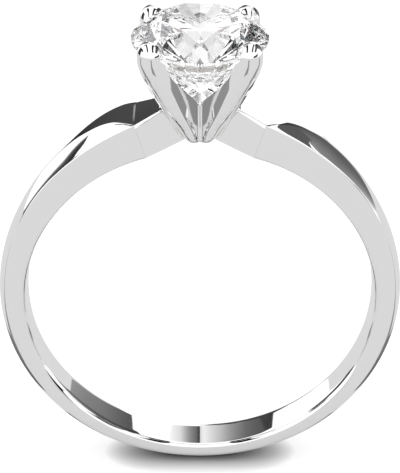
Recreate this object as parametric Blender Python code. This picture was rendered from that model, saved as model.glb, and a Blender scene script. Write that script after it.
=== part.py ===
"""Four-claw solitaire engagement ring with a round brilliant diamond and a tapered shank.

The finger hole's centre is the origin and the ring's axis is Y. The stone sits at the top, along +Z.
Sizes are named here in millimetres and the objects are made in metres.
"""

import math

import bmesh
import bpy
from mathutils import Matrix, Vector

MM = 0.001
JOINT_GAP = 0.012            # clearance left at every soldered or seated face

# Shank: (angle from the bottom, half width, half width of the bore's flat, radius where the side
# face starts, radius where it ends, half width of the flat on top, its radius, how steeply a flank
# leaves it: 0 for a plain round band, 0.5 for a marked ridge)
BORE_RADIUS = 8.65
SHANK_STATIONS = (
    (0, 1.00, 0.77, 8.83, 9.20, 0.03, 9.75, 0.0),
    (45, 1.00, 0.67, 8.93, 9.38, 0.03, 9.86, 0.0),
    (90, 1.00, 0.60, 9.03, 9.63, 0.03, 10.00, 0.0),
    (112, 1.03, 0.78, 8.95, 9.80, 0.03, 10.08, 0.0),
    (126, 1.12, 1.00, 8.82, 9.96, 0.03, 10.19, 0.25),
    (140, 1.21, 1.08, 8.78, 10.08, 0.03, 10.40, 0.5),
    (146, 1.245, 1.11, 8.775, 10.15, 0.20, 10.54, 0.5),
    (150, 1.27, 1.13, 8.77, 10.21, 0.40, 10.63, 0.5),
    (154, 1.29, 1.15, 8.765, 10.27, 0.60, 10.70, 0.5),
    (158, 1.31, 1.175, 8.76, 10.34, 0.86, 10.70, 0.5),
    (160.5, 1.32, 1.19, 8.755, 10.38, 1.12, 10.61, 0.5),
    (163, 1.33, 1.20, 8.75, 10.42, 1.30, 10.46, 0.5),
)
SHANK_END = 163
SHANK_STEPS = 90
EDGE_STEPS = 3
FLANK_STEPS = 4

# Bridges, from the shank's end in to the head. Each station gives for four corners, from the
# underside up to the middle of the top, the reach from the ring's middle, half width and height.
BRIDGE_STATIONS = (
    ((2.53, 1.24, 8.28), (2.99, 1.33, 9.79), (3.058, 1.24, 10.003), (3.058, 0.0, 10.003)),
    ((1.62, 0.82, 8.56), (1.90, 0.86, 10.38), (1.90, 0.74, 10.51), (1.90, 0.0, 10.52)),
    ((0.61, 0.34, 8.88), (0.85, 0.40, 10.46), (0.86, 0.30, 10.56), (0.86, 0.0, 10.57)),
)
BRIDGE_ROUND_STEPS = 3

# Claws: (height, thickness, distance of the rounded outer edge's centre from the head's axis)
CLAW_STATIONS = (
    (8.70, 0.50, 0.40),
    (8.82, 0.62, 0.50),
    (9.60, 0.85, 0.93),
    (10.60, 1.05, 1.59),
    (11.60, 1.20, 2.16),
    (12.60, 1.31, 2.69),
    (13.40, 1.31, 3.03),
    (13.90, 1.27, 3.10),
)
# Inner edge of a claw's web above the centre post: (height, distance from the head's axis)
WEB_EDGE = (
    (10.85, 0.62),
    (11.15, 0.80),
    (11.55, 1.22),
    (12.10, 1.82),
    (12.85, 2.46),
    (13.40, 2.72),
    (13.90, 2.60),
)
CLAW_LEVELS = 17
CLAW_ARC_STEPS = 8
TIP_CENTRE = 3.26
TIP_HEIGHT = 0.62
TIP_STEPS = 4
TIP_ROUND_FROM = 13.40

# Centre post where the four webs meet
POST_BOTTOM = 8.74
POST_TOP = 10.85
POST_NECK = 0.05
POST_FILLET = 0.16
POST_LEVELS = 6
POST_ARC_STEPS = 4

# Solder fillets between the bridges and the claws
SOLDER_HEIGHTS = (9.00, 9.30, 9.65, 10.00, 10.30)
SOLDER_LEG = 0.15

# Round brilliant: heights from the girdle's middle, angles in degrees
STONE_HEIGHT = 13.83
STONE_RADIUS = 3.17
GIRDLE_HALF = 0.06
GIRDLE_SIDES = 96
TABLE_RADIUS = 1.87
CROWN_ANGLE = 36.2
PAVILION_ANGLE = 40.8
STAR_LENGTH = 0.52
LOWER_HALF_LENGTH = 0.78
CULET_RADIUS = 0.03

HEAD_TURN = math.radians(45)


def remove_scene_objects():
    for item in list(bpy.data.objects):
        bpy.data.objects.remove(item, do_unlink=True)


def metal(name, colour, roughness):
    material = bpy.data.materials.new(name)
    material.use_nodes = True
    shader = material.node_tree.nodes["Principled BSDF"]
    shader.inputs["Base Color"].default_value = (*colour, 1.0)
    shader.inputs["Metallic"].default_value = 1.0
    shader.inputs["Roughness"].default_value = roughness
    return material


def gemstone(name):
    material = bpy.data.materials.new(name)
    material.use_nodes = True
    shader = material.node_tree.nodes["Principled BSDF"]
    shader.inputs["Base Color"].default_value = (1.0, 1.0, 1.0, 1.0)
    shader.inputs["Roughness"].default_value = 0.0
    shader.inputs["Transmission Weight"].default_value = 1.0
    shader.inputs["IOR"].default_value = 2.417
    return material


def between(stations, key):
    """Smooth curve through rows whose first value is the key; flat where neighbours are equal."""
    count = len(stations)
    if key <= stations[0][0]:
        return stations[0][1:]
    if key >= stations[-1][0]:
        return stations[-1][1:]
    index = max(i for i in range(count - 1) if stations[i][0] <= key)
    start, end = stations[index], stations[index + 1]
    span = end[0] - start[0]
    t = (key - start[0]) / span

    def slope(i, column):
        if i == 0:
            return 0.0
        last = min(i + 1, count - 1)
        return (stations[last][column] - stations[i - 1][column]) / (stations[last][0] - stations[i - 1][0])

    values = []
    for column in range(1, len(start)):
        m0 = slope(index, column) * span
        m1 = slope(index + 1, column) * span
        a, b = start[column], end[column]
        values.append((2 * t**3 - 3 * t**2 + 1) * a + (t**3 - 2 * t**2 + t) * m0
                      + (3 * t**2 - 2 * t**3) * b + (t**3 - t**2) * m1)
    return tuple(values)


def loft(rings):
    """Closed skin through rings that have the same number of points."""
    mesh = bmesh.new()
    rows = [[mesh.verts.new(Vector(point) * MM) for point in ring] for ring in rings]
    size = len(rows[0])
    for lower, upper in zip(rows, rows[1:]):
        for i in range(size):
            j = (i + 1) % size
            mesh.faces.new((lower[i], lower[j], upper[j], upper[i]))
    mesh.faces.new(list(reversed(rows[0])))
    mesh.faces.new(rows[-1])
    bmesh.ops.recalc_face_normals(mesh, faces=mesh.faces[:])
    return mesh


def make_object(name, mesh, material, smooth_angle=35):
    data = bpy.data.meshes.new(name)
    mesh.to_mesh(data)
    mesh.free()
    if smooth_angle:
        data.shade_smooth()
        data.set_sharp_from_angle(angle=math.radians(smooth_angle))
    data.materials.append(material)
    item = bpy.data.objects.new(name, data)
    bpy.context.scene.collection.objects.link(item)
    return item


def make_cutter(name, mesh):
    data = bpy.data.meshes.new(name)
    mesh.to_mesh(data)
    mesh.free()
    item = bpy.data.objects.new(name, data)
    item.hide_render = True
    item.display_type = "WIRE"
    bpy.context.scene.collection.objects.link(item)
    return item


def cut(item, cutter):
    modifier = item.modifiers.new("cut_" + cutter.name, "BOOLEAN")
    modifier.operation = "DIFFERENCE"
    modifier.solver = "EXACT"
    modifier.object = cutter


# Shank

def shank_section(angle):
    """Outline across the band at an angle from the bottom, as (along the ring's axis, radius)."""
    half, bore_half, face_start, face_end, top_half, crest, ridge = between(SHANK_STATIONS, abs(angle))
    side = [(bore_half, BORE_RADIUS)]
    for step in range(1, EDGE_STEPS + 1):
        turn = math.radians(90 * step / EDGE_STEPS)
        side.append((bore_half + (half - bore_half) * math.sin(turn),
                     face_start - (face_start - BORE_RADIUS) * math.cos(turn)))
    side.extend(flank(half, face_end, top_half, crest, ridge))
    return side + [(-y, radius) for y, radius in reversed(side)]


def flank(half, face_end, top_half, crest, ridge):
    """Arc from the side face up to the flat on top."""
    slant = math.atan2(crest - face_end, half - top_half)
    start = slant * ridge
    turned = slant - start
    arc_radius = math.hypot(half - top_half, crest - face_end) / (2 * math.sin(turned))
    points = []
    for step in range(FLANK_STEPS + 1):
        tilt = start + 2 * turned * (1 - step / FLANK_STEPS)
        points.append((top_half + arc_radius * (math.sin(tilt) - math.sin(start)),
                       crest - arc_radius * (math.cos(start) - math.cos(tilt))))
    return points


def shank_mesh():
    rings = []
    for step in range(SHANK_STEPS + 1):
        angle = SHANK_END * (2 * step / SHANK_STEPS - 1)
        turn = math.radians(angle)
        rings.append([(radius * math.sin(turn), y, -radius * math.cos(turn))
                      for y, radius in shank_section(angle)])
    return loft(rings)


# Shoulder bridges

def bridge_section(bottom, face_top, top_edge, crest):
    """Half of a bridge's section from the underside up, its top edge eased to the side face."""
    corner = Vector((top_edge.x, face_top.y, top_edge.z))
    points = [bottom]
    for step in range(BRIDGE_ROUND_STEPS + 1):
        t = step / BRIDGE_ROUND_STEPS
        points.append(face_top * (1 - t)**2 + corner * 2 * t * (1 - t) + top_edge * t**2)
    return points + [crest]


def bridge_mesh(side):
    """Tapering block that carries the head from the end of the shank; side is -1 left, +1 right."""
    rings = []
    inward = Vector((math.sin(math.radians(SHANK_END + 90)), 0, -math.cos(math.radians(SHANK_END + 90))))
    for row, corners in enumerate(BRIDGE_STATIONS):
        section = bridge_section(*(Vector(corner) for corner in corners))
        front = [Vector((point.x, -point.y, point.z)) for point in section]
        ring = front + list(reversed(section[:-1]))
        if row == 0:
            ring = [point + inward * JOINT_GAP for point in ring]
        rings.append([(point.x * side, point.y, point.z) for point in ring])
    return loft(rings)


# Claws

def claw_outline(height, grow=0.0):
    """Plan outline of one claw with its web at a height, as (distance from the axis, sideways)."""
    thickness, outer_centre = between(CLAW_STATIONS, height)
    half = thickness / 2 + grow
    if height <= POST_TOP:
        inner = thickness / 2 + POST_NECK + 2 * JOINT_GAP - grow
    else:
        inner = between(WEB_EDGE, height)[0] - grow
    roundness = min(1.0, max(0.0, (height - TIP_ROUND_FROM) / (CLAW_STATIONS[-1][0] - TIP_ROUND_FROM)))
    return rounded_outline(inner, outer_centre, outer_centre + half, half, roundness)


def rounded_outline(inner, middle, outer, half, roundness):
    """Outline with a half-round outer end, and an inner end from flat (0) to half-round (1)."""
    points = []
    for step in range(CLAW_ARC_STEPS + 1):
        turn = math.pi * (step / CLAW_ARC_STEPS - 0.5)
        points.append((middle + (outer - middle) * math.cos(turn), half * math.sin(turn)))
    for step in range(CLAW_ARC_STEPS // 2 + 1):
        sideways = 1 - 4 * step / CLAW_ARC_STEPS
        bow = (middle - inner) * (1 - math.sqrt(1 - sideways**2))
        if 0 < step < CLAW_ARC_STEPS // 2 or roundness < 0.99:
            points.append((inner + roundness * bow, half * sideways))
    return points


def claw_mesh(turn, grow=0.0):
    """One claw with its web; turn is its direction around the head."""
    along = Vector((math.cos(turn), math.sin(turn), 0))
    across = Vector((-math.sin(turn), math.cos(turn), 0))
    bottom, top = CLAW_STATIONS[0][0], CLAW_STATIONS[-1][0]
    heights = [bottom + (top - bottom) * level / CLAW_LEVELS for level in range(CLAW_LEVELS)]
    outlines = [(height - grow * (height == bottom), claw_outline(height, grow)) for height in heights]
    thickness, outer_centre = CLAW_STATIONS[-1][1:]
    inner = WEB_EDGE[-1][1]
    for step in range(TIP_STEPS):
        lift = math.radians(90 * step / TIP_STEPS)
        shrink = math.cos(lift)
        middle = TIP_CENTRE + (outer_centre - TIP_CENTRE) * shrink
        outline = rounded_outline(TIP_CENTRE - (TIP_CENTRE - inner) * shrink, middle,
                                  middle + thickness / 2 * shrink, thickness / 2 * shrink, 0.98)
        outlines.append((top + TIP_HEIGHT * math.sin(lift), outline))
    rings = [[tuple(along * rho + across * side + Vector((0, 0, height))) for rho, side in outline]
             for height, outline in outlines]
    mesh = loft(rings)
    peak = mesh.verts.new((along * TIP_CENTRE + Vector((0, 0, top + TIP_HEIGHT))) * MM)
    mesh.faces.ensure_lookup_table()
    cap = mesh.faces[-1]
    rim = list(cap.verts)
    mesh.faces.remove(cap)
    for i, vertex in enumerate(rim):
        mesh.faces.new((vertex, rim[(i + 1) % len(rim)], peak))
    bmesh.ops.recalc_face_normals(mesh, faces=mesh.faces[:])
    return mesh


# Centre post

def post_mesh():
    """Square post with a hollow fillet in each corner between two webs."""
    rings = []
    for level in range(POST_LEVELS + 1):
        height = POST_BOTTOM + (POST_TOP - POST_BOTTOM) * level / POST_LEVELS
        half = between(CLAW_STATIONS, height)[0] / 2 + JOINT_GAP
        face = half + POST_NECK - JOINT_GAP
        fillet = half + POST_FILLET
        ring = []
        for quarter in range(4):
            turn = HEAD_TURN + math.radians(90 * quarter)
            along = Vector((math.cos(turn), math.sin(turn), 0))
            across = Vector((-math.sin(turn), math.cos(turn), 0))
            corners = [(face, -half), (face, half)]
            for step in range(POST_ARC_STEPS + 1):
                swing = math.radians(90 * step / POST_ARC_STEPS)
                corners.append((fillet - POST_FILLET * math.sin(swing),
                                fillet - POST_FILLET * math.cos(swing)))
            lift = Vector((0, 0, height))
            ring.extend(tuple(along * rho + across * side + lift) for rho, side in corners)
        rings.append(ring)
    return loft(rings)


# Solder fillets

def bridge_face_line(height):
    """Where a bridge's side face runs at a height: its outer and inner ends, as (reach, half width)."""
    ends = []
    for row in (0, 1):
        (reach0, half0, low), (reach1, half1, high) = BRIDGE_STATIONS[row][:2]
        t = (height - low) / (high - low)
        ends.append(Vector((reach0 + (reach1 - reach0) * t, half0 + (half1 - half0) * t)))
    return ends


def solder_ring(height, side, end):
    """Triangle between a bridge's face and a claw's round edge; side is -1 or 1 in X, end in Y."""
    thickness, outer_centre = between(CLAW_STATIONS, height)
    centre = Vector((outer_centre, outer_centre)) * math.sin(HEAD_TURN)
    radius = thickness / 2 + 1.5 * JOINT_GAP
    far, near = bridge_face_line(height)
    run = (near - far).normalized()
    out = Vector((-run.y, run.x))
    if out.y < 0:
        out = -out
    base = far + out * 1.5 * JOINT_GAP
    reach = (base - centre).dot(run)
    offset = (base - centre - run * reach).length
    meet = base - run * reach - run * math.sqrt(max(radius**2 - offset**2, 0.0))
    spoke = meet - centre
    swing = math.atan2(spoke.y, spoke.x) + SOLDER_LEG / radius
    climb = centre + Vector((math.cos(swing), math.sin(swing))) * radius
    foot = meet - run * SOLDER_LEG
    hollow = (foot + climb) / 2 * 0.6 + meet * 0.4
    return [(point.x * side, point.y * end, height) for point in (meet, foot, hollow, climb)]


def solder_mesh(side, end):
    return loft([solder_ring(height, side, end) for height in SOLDER_HEIGHTS])


# Stone

def facet_planes(grow=0.0):
    """Every facet of a round brilliant as (unit normal, distance from the girdle's centre)."""
    crown = math.radians(CROWN_ANGLE)
    pavilion = math.radians(PAVILION_ANGLE)
    table_height = GIRDLE_HALF + (STONE_RADIUS - TABLE_RADIUS) * math.tan(crown)
    culet_height = -GIRDLE_HALF - (STONE_RADIUS - CULET_RADIUS) * math.tan(pavilion)
    step = math.radians(22.5)

    def through(azimuth, points):
        """Facet that faces the azimuth and holds two points given as (azimuth, radius, height)."""
        (first, radius0, height0), (second, radius1, height1) = points
        reach0 = radius0 * math.cos(first - azimuth)
        reach1 = radius1 * math.cos(second - azimuth)
        normal = Vector((height1 - height0, reach0 - reach1)).normalized()
        if normal.x < 0:
            normal = -normal
        return (Vector((math.cos(azimuth) * normal.x, math.sin(azimuth) * normal.x, normal.y)),
                normal.x * reach0 + normal.y * height0)

    star_radius = TABLE_RADIUS + (STONE_RADIUS - TABLE_RADIUS) * STAR_LENGTH
    star_height = GIRDLE_HALF + (STONE_RADIUS - star_radius * math.cos(step)) * math.tan(crown)
    tip_radius = STONE_RADIUS * (1 - LOWER_HALF_LENGTH)
    tip_height = -GIRDLE_HALF - (STONE_RADIUS - tip_radius * math.cos(step)) * math.tan(pavilion)
    planes = [(Vector((0, 0, 1)), table_height), (Vector((0, 0, -1)), -culet_height)]
    for eighth in range(8):
        main = step + math.radians(45 * eighth)
        star = main + step
        planes.append(through(main, ((main, STONE_RADIUS, GIRDLE_HALF), (main, TABLE_RADIUS, table_height))))
        planes.append(through(main, ((main, STONE_RADIUS, -GIRDLE_HALF),
                                     (main, 0.0, culet_height - CULET_RADIUS * math.tan(pavilion)))))
        planes.append(through(star, ((main, TABLE_RADIUS, table_height), (star, star_radius, star_height))))
        for hand in (-1, 1):
            girdle = star + hand * step / 2
            planes.append(through(girdle, ((star, star_radius, star_height),
                                           (girdle, STONE_RADIUS, GIRDLE_HALF))))
            planes.append(through(girdle, ((star, tip_radius, tip_height),
                                           (girdle, STONE_RADIUS, -GIRDLE_HALF))))
    return [(normal, distance + grow) for normal, distance in planes]


def stone_mesh(grow=0.0):
    """Round blank with each facet cut from it as a flat."""
    mesh = bmesh.new()
    depth = STONE_RADIUS * 2 * MM
    bmesh.ops.create_cone(mesh, cap_ends=True, segments=GIRDLE_SIDES, radius1=(STONE_RADIUS + grow) * MM,
                          radius2=(STONE_RADIUS + grow) * MM, depth=depth)
    for normal, distance in facet_planes(grow):
        everything = mesh.verts[:] + mesh.edges[:] + mesh.faces[:]
        result = bmesh.ops.bisect_plane(mesh, geom=everything, dist=1e-9, plane_co=normal * distance * MM,
                                        plane_no=normal, clear_outer=True)
        rim = [part for part in result["geom_cut"] if isinstance(part, bmesh.types.BMEdge)]
        bmesh.ops.edgenet_fill(mesh, edges=rim)
    bmesh.ops.remove_doubles(mesh, verts=mesh.verts[:], dist=2e-7)
    bmesh.ops.recalc_face_normals(mesh, faces=mesh.faces[:])
    bmesh.ops.translate(mesh, verts=mesh.verts[:], vec=(0, 0, STONE_HEIGHT * MM))
    return mesh


def build():
    remove_scene_objects()
    white_gold = metal("polished_white_gold", (0.86, 0.86, 0.87), 0.07)
    claw_gold = metal("claw_white_gold", (0.84, 0.84, 0.85), 0.08)
    bridge_gold = metal("bridge_white_gold", (0.85, 0.85, 0.86), 0.08)
    post_gold = metal("post_white_gold", (0.80, 0.80, 0.81), 0.12)
    solder = metal("white_gold_solder", (0.70, 0.70, 0.71), 0.16)

    make_object("shank", shank_mesh(), white_gold)
    make_object("diamond", stone_mesh(), gemstone("diamond"), smooth_angle=0)
    make_object("centre_post", post_mesh(), post_gold)

    stone_cutter = make_cutter("stone_seat_cutter", stone_mesh(grow=1.5 * JOINT_GAP))

    claw_cutters = {}
    for name, quarter in (("back_right", 0), ("back_left", 1), ("front_left", 2), ("front_right", 3)):
        turn = HEAD_TURN + math.radians(90 * quarter)
        claw = make_object("claw_" + name, claw_mesh(turn), claw_gold)
        cut(claw, stone_cutter)
        claw_cutters[name] = make_cutter("claw_cutter_" + name, claw_mesh(turn, grow=JOINT_GAP))

    for name, side in (("left", -1), ("right", 1)):
        bridge = make_object("bridge_" + name, bridge_mesh(side), bridge_gold, smooth_angle=12)
        cut(bridge, claw_cutters["front_" + name])
        cut(bridge, claw_cutters["back_" + name])

        for place, end in (("front_", -1), ("back_", 1)):
            make_object("solder_" + place + name, solder_mesh(side, end), solder)


build()
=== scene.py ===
"""Looks of the four-claw solitaire ring: fine metal surfaces, the cut stone, studio and camera.

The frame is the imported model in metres. Sizes are named in millimetres and turned to metres by MM.
"""

import math

import bmesh
import bpy
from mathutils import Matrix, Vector


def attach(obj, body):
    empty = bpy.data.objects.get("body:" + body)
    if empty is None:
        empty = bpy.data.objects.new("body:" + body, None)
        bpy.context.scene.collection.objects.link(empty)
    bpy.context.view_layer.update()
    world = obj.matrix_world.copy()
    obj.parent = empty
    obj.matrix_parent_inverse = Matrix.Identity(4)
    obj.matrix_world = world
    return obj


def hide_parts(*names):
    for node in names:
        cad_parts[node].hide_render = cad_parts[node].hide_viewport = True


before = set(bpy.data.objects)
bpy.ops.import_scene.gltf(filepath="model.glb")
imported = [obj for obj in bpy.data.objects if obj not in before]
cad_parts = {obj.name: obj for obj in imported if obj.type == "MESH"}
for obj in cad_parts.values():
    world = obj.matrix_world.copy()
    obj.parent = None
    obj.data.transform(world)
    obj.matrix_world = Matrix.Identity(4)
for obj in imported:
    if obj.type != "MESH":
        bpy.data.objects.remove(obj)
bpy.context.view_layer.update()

MM = 0.001
JOINT_GAP = 0.012
# Edges steeper than these angles in degrees stay sharp
SHARP_ANGLE = 30
BRIDGE_SHARP_ANGLE = 12

# Shank: (angle from the bottom, half width, half width of the bore's flat, radius where the side
# face starts, radius where it ends, half width of the flat on top, its radius, how steeply a flank
# leaves it: 0 for a plain round band, 0.5 for a marked ridge)
BORE_RADIUS = 8.65
SHANK_STATIONS = (
    (0, 1.00, 0.77, 8.83, 9.20, 0.03, 9.75, 0.0),
    (45, 1.00, 0.67, 8.93, 9.38, 0.03, 9.86, 0.0),
    (90, 1.00, 0.60, 9.03, 9.63, 0.03, 10.00, 0.0),
    (112, 1.03, 0.78, 8.95, 9.80, 0.03, 10.08, 0.0),
    (126, 1.12, 1.00, 8.82, 9.96, 0.03, 10.19, 0.25),
    (140, 1.21, 1.08, 8.78, 10.08, 0.03, 10.40, 0.5),
    (146, 1.245, 1.11, 8.775, 10.15, 0.20, 10.54, 0.5),
    (150, 1.27, 1.13, 8.77, 10.21, 0.40, 10.63, 0.5),
    (154, 1.29, 1.15, 8.765, 10.27, 0.60, 10.70, 0.5),
    (158, 1.31, 1.175, 8.76, 10.34, 0.86, 10.70, 0.5),
    (160.5, 1.32, 1.19, 8.755, 10.38, 1.12, 10.61, 0.5),
    (163, 1.33, 1.20, 8.75, 10.42, 1.30, 10.46, 0.5),
)
SHANK_END = 163
SHANK_STEPS = 400
BORE_STEPS = 6
EDGE_STEPS = 8
SIDE_STEPS = 4
FLANK_STEPS = 18
FLAT_STEPS = 3
EASE_STEPS = 8
# How far back the edges are eased: along the side face, and along the edges of the flat on top, as
# (angle from the bottom, distance). An easing takes at most these shares of the flank and of the flat.
FACE_EASE = 0.06
RIDGE_EASES = ((0, 0.04), (150, 0.04), (156, 0.12), (163, 0.25))
FLANK_EASE_SHARE = 0.3
FLAT_EASE_SHARE = 0.9

# Bridges, from the shank's end in to the head. Each station gives for four corners, from the
# underside up to the middle of the top, the reach from the ring's middle, half width and height.
BRIDGE_STATIONS = (
    ((2.53, 1.24, 8.28), (2.99, 1.33, 9.79), (3.058, 1.24, 10.003), (3.058, 0.0, 10.003)),
    ((1.62, 0.82, 8.56), (1.90, 0.86, 10.38), (1.90, 0.74, 10.51), (1.90, 0.0, 10.52)),
    ((0.61, 0.34, 8.88), (0.85, 0.40, 10.46), (0.86, 0.30, 10.56), (0.86, 0.0, 10.57)),
)

# Claws around the head, by quarter turns
CLAW_QUARTERS = {"back_right": 0, "back_left": 1, "front_left": 2, "front_right": 3}
HEAD_TURN = math.radians(45)
# (Height, thickness, distance of the rounded outer edge's centre from the head's axis)
CLAW_STATIONS = (
    (8.70, 0.50, 0.40),
    (8.82, 0.62, 0.50),
    (9.60, 0.85, 0.93),
    (10.60, 1.05, 1.59),
    (11.60, 1.20, 2.16),
    (12.60, 1.31, 2.69),
    (13.40, 1.31, 3.03),
    (13.90, 1.27, 3.10),
)
# Inner edge of the web above the post: (height, distance from the head's axis)
WEB_EDGE = (
    (10.85, 0.62),
    (11.15, 0.80),
    (11.55, 1.22),
    (12.10, 1.82),
    (12.85, 2.46),
    (13.40, 2.72),
    (13.90, 2.60),
)
# Bevel of that edge, the most it takes of half the thickness, and how much of that half is left at
# the bevel's outer end
WEB_BEVEL = 0.07
WEB_BEVEL_SHARE = 0.5
WEB_WIDTH_SHARE = 0.999
CLAW_LEVELS = 60
CLAW_ARC_STEPS = 24
# Domed tip: its peak's distance from the head's axis, and its height above the last station
TIP_CENTRE = 3.26
TIP_HEIGHT = 0.62
TIP_STEPS = 14
TIP_ROUND_FROM = 13.40
CLAW_MERGE = 1e-4

# Centre post where the four webs meet
POST_BOTTOM = 8.74
POST_TOP = 10.85
POST_NECK = 0.05
POST_FILLET = 0.16
POST_LEVELS = 30
POST_ARC_STEPS = 10

# Solder fillets between the bridges and the claws
SOLDER_LOW = 9.00
SOLDER_HIGH = 10.30
SOLDER_LEVELS = 20
SOLDER_STEPS = 6
SOLDER_LEG = 0.15
SOLDER_GAP = 1.5 * JOINT_GAP

# Round brilliant: heights from the girdle's middle, angles in degrees
STONE_HEIGHT = 13.83
STONE_RADIUS = 3.17
GIRDLE_HALF = 0.06
GIRDLE_SIDES = 192
TABLE_RADIUS = 1.87
CROWN_ANGLE = 36.2
PAVILION_ANGLE = 40.8
STAR_LENGTH = 0.52
LOWER_HALF_LENGTH = 0.78
CULET_RADIUS = 0.03
STONE_MERGE = 2e-4
STONE_CUT_TOLERANCE = 1e-6

# Camera: height of the point it aims at, distance to it, angle above the horizon and lens
CAMERA_AIM = 3.36
CAMERA_DISTANCE = 76.0
CAMERA_ELEVATION = 29.467
CAMERA_LENS = 117.74
CAMERA_SENSOR = 36.0
CAMERA_NEAREST = 1.0
CAMERA_FARTHEST = 10000.0

# Metal: its lightness, the size of the patches where its tone changes and how dark they get
METAL_TINT = 0.93
TONE_PATCH = 2.5
TONE_FADE = 0.985
TONE_DETAIL = 2.0
# Polish of each part: (how warm, lowest and highest roughness, size of the marks, their stretch along
# X, Y and Z, depth)
METAL_FINISHES = {
    "shank_metal": (0.000, 0.020, 0.045, 0.50, (0.4, 3.0, 0.4), 0.00010),
    "bridge_metal": (0.000, 0.022, 0.050, 0.35, (0.5, 2.0, 2.0), 0.00012),
    "post_metal": (0.004, 0.030, 0.060, 0.20, (3.0, 3.0, 0.4), 0.00015),
    "claw_metal": (0.000, 0.020, 0.050, 0.25, (3.0, 3.0, 0.3), 0.00012),
    "solder_metal": (0.012, 0.045, 0.090, 0.12, (1.0, 1.0, 1.0), 0.00025),
}
POLISH_DETAIL = 4.0
# Stone: how strongly it bends light, lowest and highest roughness, and size of the marks
STONE_IOR = 2.417
STONE_POLISH = (0.0, 0.006)
STONE_MARK = 0.15
STONE_DETAIL = 2.0
# The part of the noise's range that a varied value follows
NOISE_RANGE = (0.3, 0.7)

# Studio. Directions are (azimuth from straight behind the ring, towards its right; elevation).
# Brightness is the share of white as the eye sees it.
EYE_GAMMA = 2.2
WHITE = (1.0, 1.0, 1.0, 1.0)
WORLD_STRENGTH = 1.2
STONE_LIGHT_BOOST = 0.2
LIGHT_BOUNCES = 32
# Floor: its size, its brightness to the camera and in mirror, and the shadow right under the ring
FLOOR_LEVEL = -9.75
FLOOR_RADIUS = 130.0
FLOOR_SIDES = 96
FLOOR_SEEN = 1.0
FLOOR_MIRRORED = 0.85
CONTACT_REACH = 1.2
CONTACT_STEEPNESS = 1.2
CONTACT_SAMPLES = 16
# Darker areas of the floor, seen in reflections only; the one under the ring is painted shade: (left,
# right, front and back edge, brightness)
PATCH_LIFT = 0.02
FLOOR_PATCHES = {
    "left": (-65.0, -14.0, -3.5, 5.0, 0.55),
    "right": (14.0, 65.0, -3.5, 5.0, 0.55),
    # Painted shade: the floor's shadow under the ring, as a dark patch that reflections show
    "painted_shade_under_ring": (-8.0, 8.0, 0.6, 3.5, 0.35),
    "in_front": (-4.0, 4.0, -60.0, -20.0, 0.55),
    "beside_left": (-16.5, -10.5, -1.5, 9.0, 0.42),
    "beside_right": (10.5, 16.5, -1.5, 9.0, 0.42),
}
# Dark panels: rows of (lower direction, upper direction, brightness below, brightness above)
PANEL_DISTANCE = 300.0
PANEL_STEPS = 6
DARK_PANELS = {
    "behind_left": (
        ((-28.0, -12), (-28.0, 24), 0.10, 0.22),
        ((-26.0, -12), (-26.0, 25), 0.25, 0.26),
        ((-20.0, -12), (-20.0, 28), 0.30, 0.27),
        ((-13.0, -12), (-13.0, 31), 0.30, 0.28),
        ((-2.2, -12), (-2.2, 31), 0.30, 0.28),
    ),
    "behind_seam": (
        ((-2.2, 27), (-2.2, 31), 0.28, 0.28),
        ((0.0, 27), (0.0, 30), 0.28, 0.28),
    ),
    "joint_glint": (
        ((-2.2, 23), (-2.2, 27), 0.65, 0.60),
        ((0.0, 23), (0.0, 27), 0.65, 0.60),
    ),
    "high_seam": (
        ((-2.0, 33), (-2.0, 46), 0.94, 0.94),
        ((0.0, 33), (0.0, 46), 0.86, 0.86),
    ),
    "high_left": (
        ((-28.3, 24), (-27.0, 40), 0.20, 0.20),
        ((-26.0, 25), (-26.0, 42), 0.33, 0.33),
        ((-20.0, 28), (-20.0, 46), 0.41, 0.41),
        ((-16.0, 30), (-16.0, 46), 0.52, 0.52),
        ((-13.0, 31), (-13.0, 46), 0.61, 0.61),
        ((-10.0, 31), (-10.0, 46), 0.72, 0.72),
        ((-2.0, 31), (-2.0, 46), 0.94, 0.94),
    ),
    "far_left": (
        ((-53.0, -12), (-55.5, 24), 0.70, 0.90),
        ((-56.0, -12), (-58.5, 25), 0.22, 0.40),
        ((-62.0, -12), (-65.0, 26), 0.12, 0.20),
        ((-75.0, -12), (-80.0, 27), 0.20, 0.30),
        ((-90.0, -12), (-92.0, 28), 0.35, 0.40),
    ),
    "front_right": (
        ((112.0, -4), (106.0, 12), 0.08, 0.08),
        ((128.0, -6), (126.0, 6), 0.08, 0.08),
        ((146.0, -8), (148.0, 2), 0.10, 0.10),
    ),
    "behind_middle": (
        ((0.0, 33), (0.0, 44), 0.20, 0.20),
        ((1.5, 33), (1.5, 44), 0.40, 0.40),
        ((5.0, 33), (5.0, 44), 0.57, 0.57),
        ((9.0, 33), (9.0, 44), 0.86, 0.86),
        ((14.0, 33), (14.0, 44), 0.98, 0.98),
    ),
    "behind_right": (
        ((27.5, -12), (26.5, 28), 0.72, 0.28),
        ((33.0, -12), (32.0, 36), 0.72, 0.22),
        ((38.0, -8), (42.0, 46), 0.40, 0.20),
        ((44.0, -6), (55.0, 52), 0.45, 0.22),
        ((49.0, -6), (70.0, 54), 0.60, 0.24),
        ((53.0, -6), (85.0, 54), 0.78, 0.26),
        ((57.0, -6), (98.0, 54), 0.98, 0.30),
    ),
}
# Dark bands overhead: (tilt to the side, from and to; pitch from straight behind over the top,
# from and to; brightness)
CARD_DISTANCE = 290.0
CARD_STEPS = 12
OVERHEAD_BANDS = {
    "left": (-26.0, -15.0, 60.0, 142.0, 0.08),
    "left_end": (-38.0, -26.0, 60.0, 70.0, 0.08),
    "right": (15.0, 26.0, 60.0, 142.0, 0.08),
    "right_end": (26.0, 34.0, 60.0, 70.0, 0.08),
    "left_rim": (-70.0, -59.0, 66.0, 128.0, 0.15),
    "right_rim": (39.0, 56.0, 60.0, 140.0, 0.36),
}
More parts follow.
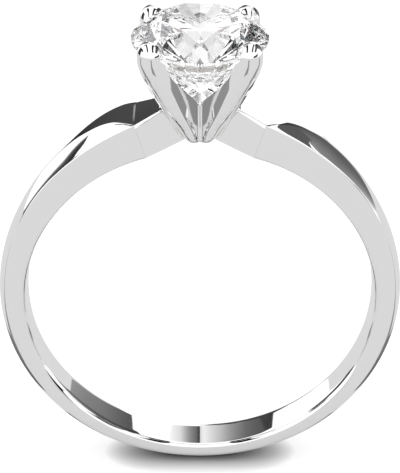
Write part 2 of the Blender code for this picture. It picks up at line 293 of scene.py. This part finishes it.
# Cards that only the stone sees: (azimuth from and to, elevation from and to, brightness, tint)
TINTS = {
    "neutral": (1.0, 1.0, 1.0),
    "beige": (1.0, 0.89, 0.76),
    "brown": (1.0, 0.82, 0.76),
    "lavender": (0.86, 0.83, 1.0),
    "blue": (0.76, 0.87, 1.0),
}
STONE_CARDS = (
    (-22, 22, 10, 24, 0.55, "beige"),
    (138, 170, -7, 7, 0.52, "brown"),
    (190, 222, -7, 7, 0.52, "brown"),
    (134, 148, 7, 28, 0.48, "lavender"),
    (150, 166, 7, 28, 0.24, "blue"),
    (194, 207, 7, 28, 0.12, "blue"),
    (209, 226, 7, 28, 0.20, "blue"),
    (172, 188, 24, 38, 0.30, "neutral"),
    (-18, 18, -9, 2, 0.90, "blue"),
    (-112, -100, 10, 46, 0.10, "neutral"),
    (-92, -72, 12, 48, 0.03, "neutral"),
    (72, 92, 12, 48, 0.03, "neutral"),
    (112, 127, 28, 39, 0.45, "lavender"),
    (-127, -112, 28, 39, 0.35, "blue"),
    (110, 126, 43, 55, 0.22, "neutral"),
    (-126, -110, 43, 55, 0.16, "blue"),
    (-12, 12, 40, 50, 0.30, "neutral"),
    (100, 112, 10, 46, 0.10, "neutral"),
    (-82, -42, -10, 10, 0.87, "neutral"),
    (42, 82, -10, 10, 0.87, "neutral"),
    (132, 148, 42, 56, 0.50, "lavender"),
    (160, 178, 40, 58, 0.30, "lavender"),
    (190, 206, 42, 58, 0.30, "neutral"),
    (220, 236, 40, 56, 0.35, "blue"),
    (46, 70, 42, 56, 0.35, "neutral"),
    (-70, -46, 42, 56, 0.42, "lavender"),
    (16, 42, 26, 40, 0.25, "blue"),
    (-38, -18, 26, 42, 0.50, "lavender"),
)


def between(stations, key):
    """Smooth curve through rows whose first value is the key; flat where neighbours are equal."""
    count = len(stations)
    if key <= stations[0][0]:
        return stations[0][1:]
    if key >= stations[-1][0]:
        return stations[-1][1:]
    index = max(i for i in range(count - 1) if stations[i][0] <= key)
    start, end = stations[index], stations[index + 1]
    span = end[0] - start[0]
    t = (key - start[0]) / span

    def slope(i, column):
        if i == 0:
            return 0.0
        last = min(i + 1, count - 1)
        rise = stations[last][column] - stations[i - 1][column]
        return rise / (stations[last][0] - stations[i - 1][0])

    values = []
    for column in range(1, len(start)):
        m0 = slope(index, column) * span
        m1 = slope(index + 1, column) * span
        a, b = start[column], end[column]
        values.append((2 * t**3 - 3 * t**2 + 1) * a + (t**3 - 2 * t**2 + t) * m0
                      + (3 * t**2 - 2 * t**3) * b + (t**3 - t**2) * m1)
    return tuple(values)


def loft(rings):
    """Closed skin through rings that have the same number of points."""
    mesh = bmesh.new()
    rows = [[mesh.verts.new(Vector(point) * MM) for point in ring] for ring in rings]
    size = len(rows[0])
    for lower, upper in zip(rows, rows[1:]):
        for i in range(size):
            j = (i + 1) % size
            mesh.faces.new((lower[i], lower[j], upper[j], upper[i]))
    mesh.faces.new(list(reversed(rows[0])))
    mesh.faces.new(rows[-1])
    bmesh.ops.recalc_face_normals(mesh, faces=mesh.faces[:])
    return mesh


def eased(start, corner, end):
    """Short curve that rounds a corner off, from start to end."""
    points = []
    for step in range(EASE_STEPS + 1):
        t = step / EASE_STEPS
        points.append(start * (1 - t)**2 + corner * 2 * t * (1 - t) + end * t**2)
    return points


def shade(data, smooth_angle):
    """Smooth shading that breaks at edges steeper than an angle in degrees."""
    data.shade_smooth()
    data.set_sharp_from_angle(angle=math.radians(smooth_angle))


def make_object(name, mesh, smooth_angle=SHARP_ANGLE):
    """Object made of a mesh, smooth up to an angle, or flat if that is 0."""
    data = bpy.data.meshes.new(name)
    mesh.to_mesh(data)
    mesh.free()
    if smooth_angle:
        shade(data, smooth_angle)
    item = bpy.data.objects.new(name, data)
    bpy.context.scene.collection.objects.link(item)
    return item


def subtract(item, *cutters, smooth_angle=SHARP_ANGLE):
    """Cuts other closed meshes from an object for good."""
    tools = []
    for number, mesh in enumerate(cutters):
        tool = make_object(f"cutter_{number}", mesh, smooth_angle=0)
        modifier = item.modifiers.new("cut", "BOOLEAN")
        modifier.operation = "DIFFERENCE"
        modifier.solver = "EXACT"
        modifier.object = tool
        tools.append(tool)
    evaluated = item.evaluated_get(bpy.context.evaluated_depsgraph_get())
    data = bpy.data.meshes.new_from_object(evaluated)
    item.modifiers.clear()
    item.data = data
    shade(data, smooth_angle)
    for tool in tools:
        bpy.data.objects.remove(tool, do_unlink=True)


def finish_piece(item, node, material):
    """Gives a piece its material and lets it take the place of its CAD node."""
    item.data.materials.clear()
    item.data.materials.append(material)
    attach(item, "root")
    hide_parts(node)


# Shank

def shank_section(angle):
    """Outline across the band at an angle from the bottom, as (along the ring's axis, radius)."""
    half, bore_half, face_start, face_end, top_half, crest, ridge = between(SHANK_STATIONS, abs(angle))
    side = [(bore_half * step / BORE_STEPS, BORE_RADIUS) for step in range(BORE_STEPS)]
    for step in range(EDGE_STEPS + 1):
        turn = math.radians(90 * step / EDGE_STEPS)
        side.append((bore_half + (half - bore_half) * math.sin(turn),
                     face_start - (face_start - BORE_RADIUS) * math.cos(turn)))
    slant = math.atan2(crest - face_end, half - top_half)
    start = slant * ridge
    arc_radius = math.hypot(half - top_half, crest - face_end) / (2 * math.sin(slant - start))
    length = arc_radius * 2 * (slant - start)

    def on_flank(distance):
        tilt = start + distance / arc_radius
        return Vector((top_half + arc_radius * (math.sin(tilt) - math.sin(start)),
                       crest - arc_radius * (math.cos(start) - math.cos(tilt))))

    ridge_ease = min(between(RIDGE_EASES, abs(angle))[0], length * FLANK_EASE_SHARE)
    flank_low = length - min(FACE_EASE, length * FLANK_EASE_SHARE)
    face_top = Vector((half, face_end - FACE_EASE))
    side.extend((half, face_start + (face_top.y - face_start) * step / SIDE_STEPS)
                for step in range(1, SIDE_STEPS))
    top = eased(face_top, Vector((half, face_end)), on_flank(flank_low))
    top.extend(on_flank(flank_low + (ridge_ease - flank_low) * step / FLANK_STEPS)
               for step in range(1, FLANK_STEPS))
    flat_edge = Vector((top_half - min(ridge_ease, top_half * FLAT_EASE_SHARE), crest))
    top.extend(eased(on_flank(ridge_ease), Vector((top_half, crest)), flat_edge))
    top.extend(flat_edge * (1 - step / FLAT_STEPS) + Vector((0, crest)) * step / FLAT_STEPS
               for step in range(1, FLAT_STEPS + 1))
    side.extend(tuple(point) for point in top)
    return side + [(-y, radius) for y, radius in reversed(side[1:-1])]


def shank_mesh():
    """Open band from one shoulder round the bottom to the other."""
    rings = []
    for step in range(SHANK_STEPS + 1):
        angle = SHANK_END * (2 * step / SHANK_STEPS - 1)
        turn = math.radians(angle)
        rings.append([(radius * math.sin(turn), y, -radius * math.cos(turn))
                      for y, radius in shank_section(angle)])
    return loft(rings)


# Shoulder bridges

def bridge_section(bottom, face_top, top_edge, crest):
    """Half of a bridge's section from the underside up, its top edge eased to the side face."""
    return [bottom] + eased(face_top, Vector((top_edge.x, face_top.y, top_edge.z)), top_edge) + [crest]


def bridge_mesh(side):
    """Tapering block that carries the head from the end of the shank; side is -1 left, +1 right."""
    rings = []
    for corners in BRIDGE_STATIONS:
        section = bridge_section(*(Vector(corner) for corner in corners))
        front = [Vector((point.x, -point.y, point.z)) for point in section]
        ring = front + list(reversed(section[:-1]))
        rings.append([(point.x * side, point.y, point.z) for point in ring])
    return loft(rings)


# Claws

def claw_axes(quarter):
    """Unit vectors out from the head along a claw's direction, and across it."""
    turn = HEAD_TURN + math.radians(90 * quarter)
    return Vector((math.cos(turn), math.sin(turn), 0)), Vector((-math.sin(turn), math.cos(turn), 0))


def claw_outline(height, grow=0.0):
    """Plan outline of one claw with its web at a height, as (distance from the axis, sideways)."""
    thickness, outer_centre = between(CLAW_STATIONS, height)
    half = thickness / 2 + grow
    if height <= POST_TOP:
        inner = thickness / 2 + POST_NECK + 2 * JOINT_GAP - grow
    else:
        inner = between(WEB_EDGE, height)[0] - grow
    roundness = min(1.0, max(0.0, (height - TIP_ROUND_FROM) / (CLAW_STATIONS[-1][0] - TIP_ROUND_FROM)))
    return rounded_outline(inner, outer_centre, outer_centre + half, half, roundness)


def rounded_outline(inner, middle, outer, half, roundness):
    """Outline with a half-round outer end, and an inner end from flat (0) to half-round (1)."""
    points = []
    for step in range(CLAW_ARC_STEPS + 1):
        turn = math.pi * (step / CLAW_ARC_STEPS - 0.5)
        points.append((middle + (outer - middle) * math.cos(turn), half * math.sin(turn)))
    bevel = min(WEB_BEVEL, half * WEB_BEVEL_SHARE)
    bevel_end = inner + bevel + roundness * (middle - inner - bevel)
    points.append((bevel_end, half * WEB_WIDTH_SHARE))
    for step in range(CLAW_ARC_STEPS + 1):
        sideways = (1 - 2 * step / CLAW_ARC_STEPS) * (1 - bevel / half * (1 - roundness))
        bow = (middle - inner) * (1 - math.sqrt(1 - sideways**2))
        points.append((inner + roundness * bow, half * sideways))
    points.append((bevel_end, -half * WEB_WIDTH_SHARE))
    return points


def tip_outlines():
    """Dome of a claw's tip as (height, outline), from its foot to just below its peak."""
    foot, thickness, outer_centre = CLAW_STATIONS[-1]
    inner = WEB_EDGE[-1][1]
    outlines = []
    for step in range(TIP_STEPS):
        lift = math.radians(90 * step / TIP_STEPS)
        shrink = math.cos(lift)
        middle = TIP_CENTRE + (outer_centre - TIP_CENTRE) * shrink
        outline = rounded_outline(TIP_CENTRE - (TIP_CENTRE - inner) * shrink, middle,
                                  middle + thickness / 2 * shrink, thickness / 2 * shrink, 1.0)
        outlines.append((foot + TIP_HEIGHT * math.sin(lift), outline))
    return outlines


def add_peak(mesh, point):
    """Fan of faces from the rim of a loft's last end up to a point, in place of the flat end."""
    peak = mesh.verts.new(point * MM)
    mesh.faces.ensure_lookup_table()
    cap = mesh.faces[-1]
    rim = list(cap.verts)
    mesh.faces.remove(cap)
    for i, vertex in enumerate(rim):
        mesh.faces.new((vertex, rim[(i + 1) % len(rim)], peak))


def claw_mesh(quarter, grow=0.0):
    """One claw with its web and tip; grown, it cuts its own place from a neighbour."""
    along, across = claw_axes(quarter)
    bottom, top = CLAW_STATIONS[0][0], CLAW_STATIONS[-1][0]
    heights = [bottom + (top - bottom) * level / CLAW_LEVELS for level in range(CLAW_LEVELS)]
    outlines = [(height - grow * (height == bottom), claw_outline(height, grow)) for height in heights]
    outlines.extend(tip_outlines())
    rings = [[tuple(along * rho + across * side + Vector((0, 0, height))) for rho, side in outline]
             for height, outline in outlines]
    mesh = loft(rings)
    add_peak(mesh, along * TIP_CENTRE + Vector((0, 0, top + TIP_HEIGHT)))
    bmesh.ops.remove_doubles(mesh, verts=mesh.verts[:], dist=CLAW_MERGE * MM)
    bmesh.ops.recalc_face_normals(mesh, faces=mesh.faces[:])
    return mesh


# Centre post

def post_mesh():
    """Square post with a hollow fillet in each corner between two webs."""
    rings = []
    for level in range(POST_LEVELS + 1):
        height = POST_BOTTOM + (POST_TOP - POST_BOTTOM) * level / POST_LEVELS
        half = between(CLAW_STATIONS, height)[0] / 2 + JOINT_GAP
        face = half + POST_NECK - JOINT_GAP
        fillet = half + POST_FILLET
        ring = []
        for quarter in range(4):
            along, across = claw_axes(quarter)
            corners = [(face, -half), (face, half)]
            for step in range(POST_ARC_STEPS + 1):
                swing = math.radians(90 * step / POST_ARC_STEPS)
                corners.append((fillet - POST_FILLET * math.sin(swing),
                                fillet - POST_FILLET * math.cos(swing)))
            lift = Vector((0, 0, height))
            ring.extend(tuple(along * rho + across * side + lift) for rho, side in corners)
        rings.append(ring)
    return loft(rings)


# Solder fillets

def bridge_face_line(height):
    """Where a bridge's side face runs at a height: its outer and inner ends, as (reach, half width)."""
    ends = []
    for row in (0, 1):
        (reach0, half0, low), (reach1, half1, high) = BRIDGE_STATIONS[row][:2]
        t = (height - low) / (high - low)
        ends.append(Vector((reach0 + (reach1 - reach0) * t, half0 + (half1 - half0) * t)))
    return ends


def solder_ring(height, side, end):
    """Hollow fillet between a bridge's face and a claw's round edge; side is -1 or 1 in X, end in Y."""
    thickness, outer_centre = between(CLAW_STATIONS, height)
    centre = Vector((outer_centre, outer_centre)) * math.sin(HEAD_TURN)
    radius = thickness / 2 + SOLDER_GAP
    far, near = bridge_face_line(height)
    run = (near - far).normalized()
    out = Vector((-run.y, run.x))
    if out.y < 0:
        out = -out
    base = far + out * SOLDER_GAP
    reach = (base - centre).dot(run)
    offset = (base - centre - run * reach).length
    meet = base - run * reach - run * math.sqrt(max(radius**2 - offset**2, 0.0))
    spoke = meet - centre
    swing = math.atan2(spoke.y, spoke.x) + SOLDER_LEG / radius
    climb = centre + Vector((math.cos(swing), math.sin(swing))) * radius
    foot = meet - run * SOLDER_LEG
    points = [meet]
    for step in range(SOLDER_STEPS + 1):
        t = step / SOLDER_STEPS
        points.append(foot * (1 - t)**2 + (foot + climb + meet * 2) / 4 * 2 * t * (1 - t) + climb * t**2)
    return [(point.x * side, point.y * end, height) for point in points]


def solder_mesh(side, end):
    """One fillet up the corner between a bridge and a claw."""
    heights = [SOLDER_LOW + (SOLDER_HIGH - SOLDER_LOW) * level / SOLDER_LEVELS
               for level in range(SOLDER_LEVELS + 1)]
    return loft([solder_ring(height, side, end) for height in heights])


# Stone

def facet_planes(grow=0.0):
    """Every facet of a round brilliant as (unit normal, distance from the girdle's centre)."""
    crown = math.radians(CROWN_ANGLE)
    pavilion = math.radians(PAVILION_ANGLE)
    table_height = GIRDLE_HALF + (STONE_RADIUS - TABLE_RADIUS) * math.tan(crown)
    culet_height = -GIRDLE_HALF - (STONE_RADIUS - CULET_RADIUS) * math.tan(pavilion)
    point_height = culet_height - CULET_RADIUS * math.tan(pavilion)
    step = math.radians(360 / 16)

    def through(azimuth, points):
        """Facet that faces the azimuth and holds two points given as (azimuth, radius, height)."""
        (first, radius0, height0), (second, radius1, height1) = points
        reach0 = radius0 * math.cos(first - azimuth)
        reach1 = radius1 * math.cos(second - azimuth)
        normal = Vector((height1 - height0, reach0 - reach1)).normalized()
        if normal.x < 0:
            normal = -normal
        return (Vector((math.cos(azimuth) * normal.x, math.sin(azimuth) * normal.x, normal.y)),
                normal.x * reach0 + normal.y * height0)

    star_radius = TABLE_RADIUS + (STONE_RADIUS - TABLE_RADIUS) * STAR_LENGTH
    star_height = GIRDLE_HALF + (STONE_RADIUS - star_radius * math.cos(step)) * math.tan(crown)
    tip_radius = STONE_RADIUS * (1 - LOWER_HALF_LENGTH)
    tip_height = -GIRDLE_HALF - (STONE_RADIUS - tip_radius * math.cos(step)) * math.tan(pavilion)
    planes = [(Vector((0, 0, 1)), table_height), (Vector((0, 0, -1)), -culet_height)]
    for eighth in range(8):
        main = step + math.radians(360 / 8 * eighth)
        star = main + step
        table_corner = (main, TABLE_RADIUS, table_height)
        star_tip = (star, star_radius, star_height)
        planes.append(through(main, ((main, STONE_RADIUS, GIRDLE_HALF), table_corner)))
        planes.append(through(main, ((main, STONE_RADIUS, -GIRDLE_HALF), (main, 0.0, point_height))))
        planes.append(through(star, (table_corner, star_tip)))
        for hand in (-1, 1):
            girdle = star + hand * step / 2
            above = (girdle, STONE_RADIUS, GIRDLE_HALF)
            below = (girdle, STONE_RADIUS, -GIRDLE_HALF)
            planes.append(through(girdle, (star_tip, above)))
            planes.append(through(girdle, ((star, tip_radius, tip_height), below)))
    return [(normal, distance + grow) for normal, distance in planes]


def stone_mesh(grow=0.0):
    """Round blank with each facet cut from it as a flat."""
    mesh = bmesh.new()
    bmesh.ops.create_cone(mesh, cap_ends=True, segments=GIRDLE_SIDES, radius1=(STONE_RADIUS + grow) * MM,
                          radius2=(STONE_RADIUS + grow) * MM, depth=STONE_RADIUS * 2 * MM)
    for normal, distance in facet_planes(grow):
        everything = mesh.verts[:] + mesh.edges[:] + mesh.faces[:]
        result = bmesh.ops.bisect_plane(mesh, geom=everything, dist=STONE_CUT_TOLERANCE * MM,
                                        plane_co=normal * distance * MM, plane_no=normal,
                                        clear_outer=True)
        rim = [part for part in result["geom_cut"] if isinstance(part, bmesh.types.BMEdge)]
        bmesh.ops.edgenet_fill(mesh, edges=rim)
    bmesh.ops.remove_doubles(mesh, verts=mesh.verts[:], dist=STONE_MERGE * MM)
    bmesh.ops.recalc_face_normals(mesh, faces=mesh.faces[:])
    bmesh.ops.translate(mesh, verts=mesh.verts[:], vec=(0, 0, STONE_HEIGHT * MM))
    return mesh


# Materials

def new_material(name):
    """Fresh material with its nodes and links."""
    material = bpy.data.materials.new(name)
    material.use_nodes = True
    return material, material.node_tree.nodes, material.node_tree.links


def marks(nodes, links, size, stretch, detail):
    """Noise in the part's own space whose marks are about a size in millimetres."""
    place = nodes.new("ShaderNodeTexCoord")
    mapping = nodes.new("ShaderNodeMapping")
    mapping.inputs["Scale"].default_value = stretch
    noise = nodes.new("ShaderNodeTexNoise")
    noise.inputs["Scale"].default_value = 1 / (size * MM)
    noise.inputs["Detail"].default_value = detail
    links.new(place.outputs["Object"], mapping.inputs["Vector"])
    links.new(mapping.outputs["Vector"], noise.inputs["Vector"])
    return noise


def vary(nodes, links, noise, socket, low, high):
    """Drives a shader socket between two values with the noise."""
    spread = nodes.new("ShaderNodeMapRange")
    spread.inputs["From Min"].default_value = NOISE_RANGE[0]
    spread.inputs["From Max"].default_value = NOISE_RANGE[1]
    spread.inputs["To Min"].default_value = low
    spread.inputs["To Max"].default_value = high
    links.new(noise.outputs["Fac"], spread.inputs["Value"])
    links.new(spread.outputs["Result"], socket)


def polished_metal(name, warmth, smoothest, roughest, mark_size, stretch, depth):
    """White gold with fine polishing marks, uneven polish and a faint change of tone."""
    material, nodes, links = new_material(name)
    shader = nodes["Principled BSDF"]
    shader.inputs["Metallic"].default_value = 1.0
    polish = marks(nodes, links, mark_size, stretch, POLISH_DETAIL)
    vary(nodes, links, polish, shader.inputs["Roughness"], smoothest, roughest)
    bump = nodes.new("ShaderNodeBump")
    bump.inputs["Distance"].default_value = depth * MM
    links.new(polish.outputs["Fac"], bump.inputs["Height"])
    links.new(bump.outputs["Normal"], shader.inputs["Normal"])
    tone = nodes.new("ShaderNodeMix")
    tone.data_type = "RGBA"
    colour = (METAL_TINT, METAL_TINT - warmth, METAL_TINT - 2 * warmth)
    tone.inputs["A"].default_value = (*colour, 1.0)
    tone.inputs["B"].default_value = (*(channel * TONE_FADE for channel in colour), 1.0)
    patches = marks(nodes, links, TONE_PATCH, (1, 1, 1), TONE_DETAIL)
    links.new(patches.outputs["Fac"], tone.inputs["Factor"])
    links.new(tone.outputs["Result"], shader.inputs["Base Color"])
    return material


def diamond_material():
    """Clear stone, its facets polished to within a trace of perfect."""
    material, nodes, links = new_material("diamond")
    shader = nodes["Principled BSDF"]
    shader.inputs["Base Color"].default_value = WHITE
    shader.inputs["Transmission Weight"].default_value = 1.0
    shader.inputs["IOR"].default_value = STONE_IOR
    polish = marks(nodes, links, STONE_MARK, (1, 1, 1), STONE_DETAIL)
    vary(nodes, links, polish, shader.inputs["Roughness"], *STONE_POLISH)
    return material


# Studio

def add_camera():
    """Camera in front of the ring that looks down at it."""
    data = bpy.data.cameras.new("camera")
    data.lens = CAMERA_LENS
    data.sensor_width = CAMERA_SENSOR
    data.clip_start = CAMERA_NEAREST * MM
    data.clip_end = CAMERA_FARTHEST * MM
    camera = bpy.data.objects.new("camera", data)
    tilt = math.radians(CAMERA_ELEVATION)
    back = Vector((0, -math.cos(tilt), math.sin(tilt))) * CAMERA_DISTANCE
    camera.location = (Vector((0, 0, CAMERA_AIM)) + back) * MM
    camera.rotation_euler = (math.radians(90) - tilt, 0, 0)
    bpy.context.scene.collection.objects.link(camera)
    bpy.context.scene.camera = camera


def build_ring():
    """All thirteen pieces, each in the place of its CAD node."""
    metals = {slot: polished_metal("white_gold_" + slot, *finish)
              for slot, finish in METAL_FINISHES.items()}
    finish_piece(make_object("shank_body", shank_mesh()), "shank", metals["shank_metal"])
    stone = make_object("round_brilliant", stone_mesh(), smooth_angle=0)
    finish_piece(stone, "diamond", diamond_material())
    finish_piece(make_object("head_post", post_mesh()), "centre_post", metals["post_metal"])
    for name, quarter in CLAW_QUARTERS.items():
        claw = make_object("claw_blade_" + name, claw_mesh(quarter))
        subtract(claw, stone_mesh(grow=JOINT_GAP))
        finish_piece(claw, "claw_" + name, metals["claw_metal"])
    for name, side in (("left", -1), ("right", 1)):
        bridge = make_object("shoulder_" + name, bridge_mesh(side), smooth_angle=BRIDGE_SHARP_ANGLE)
        cutters = [claw_mesh(CLAW_QUARTERS[place + name], grow=JOINT_GAP) for place in ("front_", "back_")]
        subtract(bridge, *cutters, smooth_angle=BRIDGE_SHARP_ANGLE)
        finish_piece(bridge, "bridge_" + name, metals["bridge_metal"])
        for place, end in (("front", -1), ("back", 1)):
            fillet = make_object(f"fillet_{place}_{name}", solder_mesh(side, end))
            finish_piece(fillet, f"solder_{place}_{name}", metals["solder_metal"])


def light_of(brightness):
    """Linear light for a share of white as the eye sees it."""
    return brightness**EYE_GAMMA


def towards(azimuth, elevation):
    """Direction given by its azimuth from straight behind the ring and its elevation."""
    azimuth, elevation = math.radians(azimuth), math.radians(elevation)
    return Vector((math.sin(azimuth) * math.cos(elevation), math.cos(azimuth) * math.cos(elevation),
                   math.sin(elevation)))


def over(side_tilt, pitch):
    """Direction given by its tilt to the side and its pitch from straight behind over the top."""
    side_tilt, pitch = math.radians(side_tilt), math.radians(pitch)
    return Vector((math.sin(side_tilt), math.cos(side_tilt) * math.cos(pitch),
                   math.cos(side_tilt) * math.sin(pitch)))


def show_in_reflections(item, material):
    """Stage object that only reflections see."""
    item.data.materials.append(material)
    item.visible_camera = False
    item.visible_diffuse = False
    item.visible_transmission = False
    item.visible_shadow = False


def glow_material(tint):
    """Emission of one tint whose strength is stored along the panel."""
    material, nodes, links = new_material("glow_" + tint)
    nodes.clear()
    glow = nodes.new("ShaderNodeAttribute")
    glow.attribute_name = "glow"
    emission = nodes.new("ShaderNodeEmission")
    emission.inputs["Color"].default_value = (*TINTS[tint], 1.0)
    output = nodes.new("ShaderNodeOutputMaterial")
    links.new(glow.outputs["Fac"], emission.inputs["Strength"])
    links.new(emission.outputs["Emission"], output.inputs["Surface"])
    return material


def cover(mesh, grid):
    """Faces between the columns of a grid of vertices."""
    for left, right in zip(grid, grid[1:]):
        for level in range(len(left) - 1):
            mesh.faces.new((left[level], right[level], right[level + 1], left[level + 1]))


def add_panel(name, rows, material):
    """Curved panel far behind the ring that shows in reflections only."""
    mesh = bmesh.new()
    glow = mesh.verts.layers.float.new("glow")
    grid = []
    for start, end in zip(rows, rows[1:]):
        last = end is rows[-1]
        for part in range(PANEL_STEPS + last):
            t = part / PANEL_STEPS
            lower = [a + (b - a) * t for a, b in zip(start[0], end[0])]
            upper = [a + (b - a) * t for a, b in zip(start[1], end[1])]
            low_light = start[2] + (end[2] - start[2]) * t
            high_light = start[3] + (end[3] - start[3]) * t
            column = []
            for level in range(PANEL_STEPS + 1):
                s = level / PANEL_STEPS
                direction = towards(*(a + (b - a) * s for a, b in zip(lower, upper)))
                vertex = mesh.verts.new(direction * PANEL_DISTANCE * MM)
                vertex[glow] = light_of(low_light + (high_light - low_light) * s) / METAL_TINT
                column.append(vertex)
            grid.append(column)
    cover(mesh, grid)
    show_in_reflections(make_object("panel_" + name, mesh), material)


def add_card(name, direction, first, second, brightness, centre_height, material):
    """Even patch of the sky between two limits of each of a direction's two angles."""
    mesh = bmesh.new()
    glow = mesh.verts.layers.float.new("glow")
    grid = []
    for column in range(CARD_STEPS + 1):
        across = first[0] + (first[1] - first[0]) * column / CARD_STEPS
        grid.append([])
        for level in range(CARD_STEPS + 1):
            along = second[0] + (second[1] - second[0]) * level / CARD_STEPS
            point = direction(across, along) * CARD_DISTANCE + Vector((0, 0, centre_height))
            vertex = mesh.verts.new(point * MM)
            vertex[glow] = light_of(brightness)
            grid[-1].append(vertex)
    cover(mesh, grid)
    card = make_object("card_" + name, mesh)
    show_in_reflections(card, material)
    return card


def grey_mix(nodes, links, factor, first, second):
    """Goes from the first grey to the second with the factor; a grey is a number or a socket."""
    mix = nodes.new("ShaderNodeMix")
    mix.data_type = "RGBA"
    for name, grey in (("A", first), ("B", second)):
        if isinstance(grey, bpy.types.NodeSocket):
            links.new(grey, mix.inputs[name])
        else:
            mix.inputs[name].default_value = (grey, grey, grey, 1)
    links.new(factor, mix.inputs["Factor"])
    return mix.outputs["Result"]


def contact_light(nodes, links):
    """Share of light that reaches the floor: less than 1 where the ring all but touches it."""
    openness = nodes.new("ShaderNodeAmbientOcclusion")
    openness.samples = CONTACT_SAMPLES
    openness.inputs["Distance"].default_value = CONTACT_REACH * MM
    openness.inputs["Color"].default_value = WHITE
    contact = nodes.new("ShaderNodeMath")
    contact.operation = "POWER"
    contact.inputs[1].default_value = CONTACT_STEEPNESS
    links.new(openness.outputs["AO"], contact.inputs[0])
    return contact.outputs["Value"]


def floor_material():
    """Matt white with a contact shadow; a little darker in mirror, a little lighter through the stone."""
    material, nodes, links = new_material("matt_white_floor")
    shader = nodes["Principled BSDF"]
    shader.inputs["Roughness"].default_value = 1.0
    shader.inputs["Specular IOR Level"].default_value = 0.0
    path = nodes.new("ShaderNodeLightPath")
    seen = grey_mix(nodes, links, contact_light(nodes, links), 0, FLOOR_SEEN)
    direct = grey_mix(nodes, links, path.outputs["Is Camera Ray"], 1, seen)
    mirrored = light_of(FLOOR_MIRRORED) / METAL_TINT / WORLD_STRENGTH
    colour = grey_mix(nodes, links, path.outputs["Is Glossy Ray"], direct, mirrored)
    links.new(colour, shader.inputs["Base Color"])
    boost = nodes.new("ShaderNodeMath")
    boost.operation = "MULTIPLY"
    boost.inputs[1].default_value = STONE_LIGHT_BOOST
    links.new(path.outputs["Is Transmission Ray"], boost.inputs[0])
    shader.inputs["Emission Color"].default_value = WHITE
    links.new(boost.outputs["Value"], shader.inputs["Emission Strength"])
    return material


def add_floor():
    """Round floor that the ring stands on."""
    mesh = bmesh.new()
    bmesh.ops.create_circle(mesh, cap_ends=True, segments=FLOOR_SIDES, radius=FLOOR_RADIUS * MM)
    floor = make_object("floor", mesh, smooth_angle=0)
    floor.location.z = FLOOR_LEVEL * MM
    floor.data.materials.append(floor_material())


def set_light_paths():
    """Enough bounces for light to find its way out of the stone, with nothing blurred on the way."""
    cycles = bpy.context.scene.cycles
    cycles.max_bounces = LIGHT_BOUNCES
    cycles.glossy_bounces = LIGHT_BOUNCES
    cycles.transmission_bounces = LIGHT_BOUNCES
    cycles.transparent_max_bounces = LIGHT_BOUNCES
    cycles.caustics_reflective = True
    cycles.caustics_refractive = True
    cycles.blur_glossy = 0.0


def add_world():
    """Even white light, a little stronger where it is seen through the stone."""
    world = bpy.data.worlds.new("studio")
    world.use_nodes = True
    nodes, links = world.node_tree.nodes, world.node_tree.links
    background = nodes["Background"]
    background.inputs["Color"].default_value = WHITE
    path = nodes.new("ShaderNodeLightPath")
    strength = nodes.new("ShaderNodeMath")
    strength.operation = "MULTIPLY_ADD"
    strength.inputs[1].default_value = STONE_LIGHT_BOOST
    strength.inputs[2].default_value = WORLD_STRENGTH
    links.new(path.outputs["Is Transmission Ray"], strength.inputs[0])
    links.new(strength.outputs["Value"], background.inputs["Strength"])
    bpy.context.scene.world = world
    bpy.context.scene.view_settings.view_transform = "Standard"


def add_floor_patch(name, left, right, front, back, brightness, material):
    """Darker area of the floor that shows in reflections only; under the ring it is painted shade."""
    mesh = bmesh.new()
    glow = mesh.verts.layers.float.new("glow")
    corners = []
    for x, y in ((left, front), (right, front), (right, back), (left, back)):
        vertex = mesh.verts.new(Vector((x, y, FLOOR_LEVEL + PATCH_LIFT)) * MM)
        vertex[glow] = light_of(brightness) / METAL_TINT
        corners.append(vertex)
    mesh.faces.new(corners)
    show_in_reflections(make_object("floor_patch_" + name, mesh, smooth_angle=0), material)


def build_studio():
    """Light, floor, and everything that only reflections or the stone see."""
    set_light_paths()
    add_world()
    add_floor()
    materials = {tint: glow_material(tint) for tint in TINTS}
    for name, rows in DARK_PANELS.items():
        add_panel(name, rows, materials["neutral"])
    for name, patch in FLOOR_PATCHES.items():
        add_floor_patch(name, *patch, materials["neutral"])
    for name, (left, right, back, front, brightness) in OVERHEAD_BANDS.items():
        add_card("overhead_" + name, over, (left, right), (back, front), brightness, 0.0,
                 materials["neutral"])
    for number, (start, end, low, high, brightness, tint) in enumerate(STONE_CARDS):
        card = add_card(f"stone_{number}", towards, (start, end), (low, high), brightness,
                        STONE_HEIGHT, materials[tint])
        card.visible_glossy = False
        card.visible_transmission = True


build_ring()
build_studio()
add_camera()
